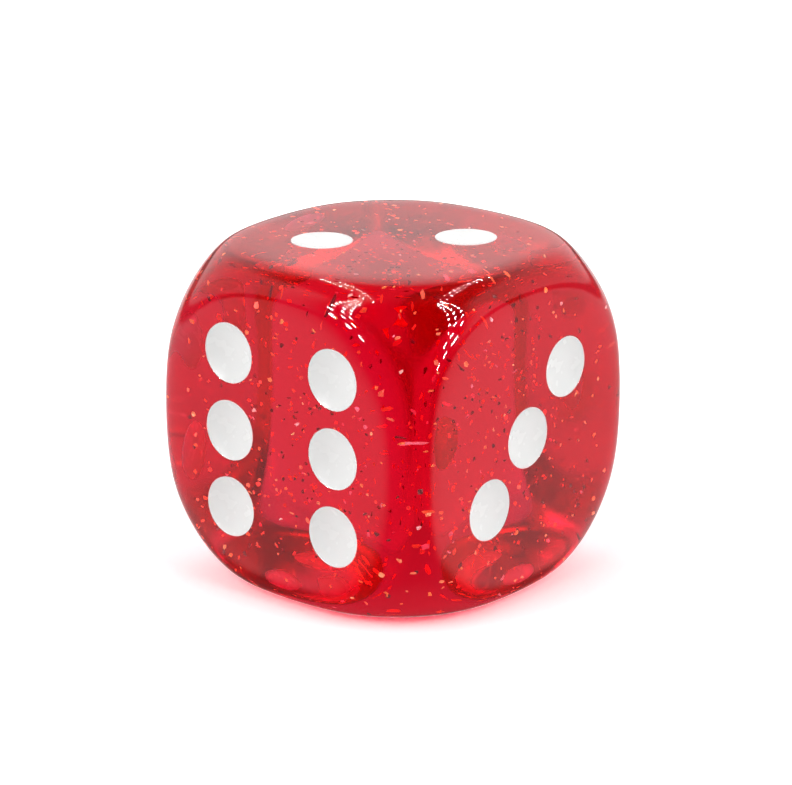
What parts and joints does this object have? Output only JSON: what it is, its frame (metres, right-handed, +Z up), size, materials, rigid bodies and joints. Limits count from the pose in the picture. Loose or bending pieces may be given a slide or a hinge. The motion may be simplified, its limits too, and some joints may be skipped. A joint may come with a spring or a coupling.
{
  "type": "six-sided die",
  "caption": "Rounded cubic die in clear red glitter resin, with a painted concave pip for each spot; rests on any face.",
  "frame": {"origin": "middle of the bottom face, the five, on the surface that the die stands on", "axes": "+Z up out of the two, -Y out of the six, +X out of the three"},
  "size_m": [0.016, 0.016, 0.016],
  "materials": {
    "clear_red_resin": "transparent red cast resin with embedded glitter, polished",
    "white_paint": "smooth white enamel, satin gloss"
  },
  "bodies": {
    "root": {"resin_body": "clear_red_resin", "one_pip_1": "white_paint", "two_pip_1": "white_paint", "two_pip_2": "white_paint", "three_pip_1": "white_paint", "three_pip_2": "white_paint", "three_pip_3": "white_paint", "four_pip_1": "white_paint", "four_pip_2": "white_paint", "four_pip_3": "white_paint", "four_pip_4": "white_paint", "five_pip_1": "white_paint", "five_pip_2": "white_paint", "five_pip_3": "white_paint", "five_pip_4": "white_paint", "five_pip_5": "white_paint", "six_pip_1": "white_paint", "six_pip_2": "white_paint", "six_pip_3": "white_paint", "six_pip_4": "white_paint", "six_pip_5": "white_paint", "six_pip_6": "white_paint"}
  },
  "joints": []
}
